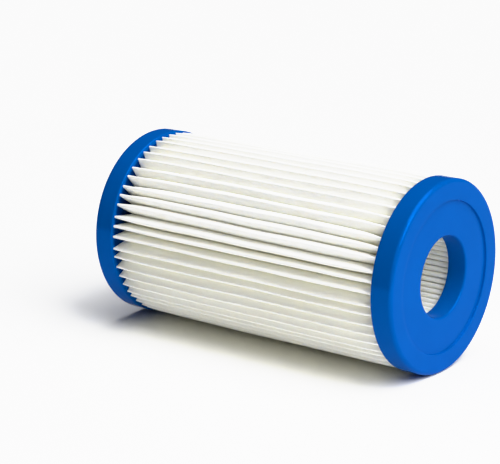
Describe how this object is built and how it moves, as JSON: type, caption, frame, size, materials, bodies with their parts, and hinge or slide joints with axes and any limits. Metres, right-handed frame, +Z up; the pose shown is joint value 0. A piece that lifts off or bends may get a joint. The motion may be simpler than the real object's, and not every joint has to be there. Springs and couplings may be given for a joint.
{
  "type": "pleated filter cartridge",
  "caption": "Cylindrical pleated water filter cartridge with a cast blue cap on each end and an open bore right through.",
  "frame": {"origin": "on the cartridge's axis, halfway along its length", "axes": "+X along the axis, out of the front cap; +Z up, with the cartridge lying on its side; the two caps are alike"},
  "size_m": [0.204, 0.108, 0.108],
  "materials": {
    "cap_plastic": "semi-gloss cast blue plastic with rounded edges",
    "filter_felt": "matt off-white spun-bonded polyester felt",
    "seam_glue": "translucent amber-white hot-melt glue"
  },
  "bodies": {
    "root": {"front_end_cap": "cap_plastic", "rear_end_cap": "cap_plastic", "pleated_media": "filter_felt", "side_seam_bead": "seam_glue"}
  },
  "joints": []
}
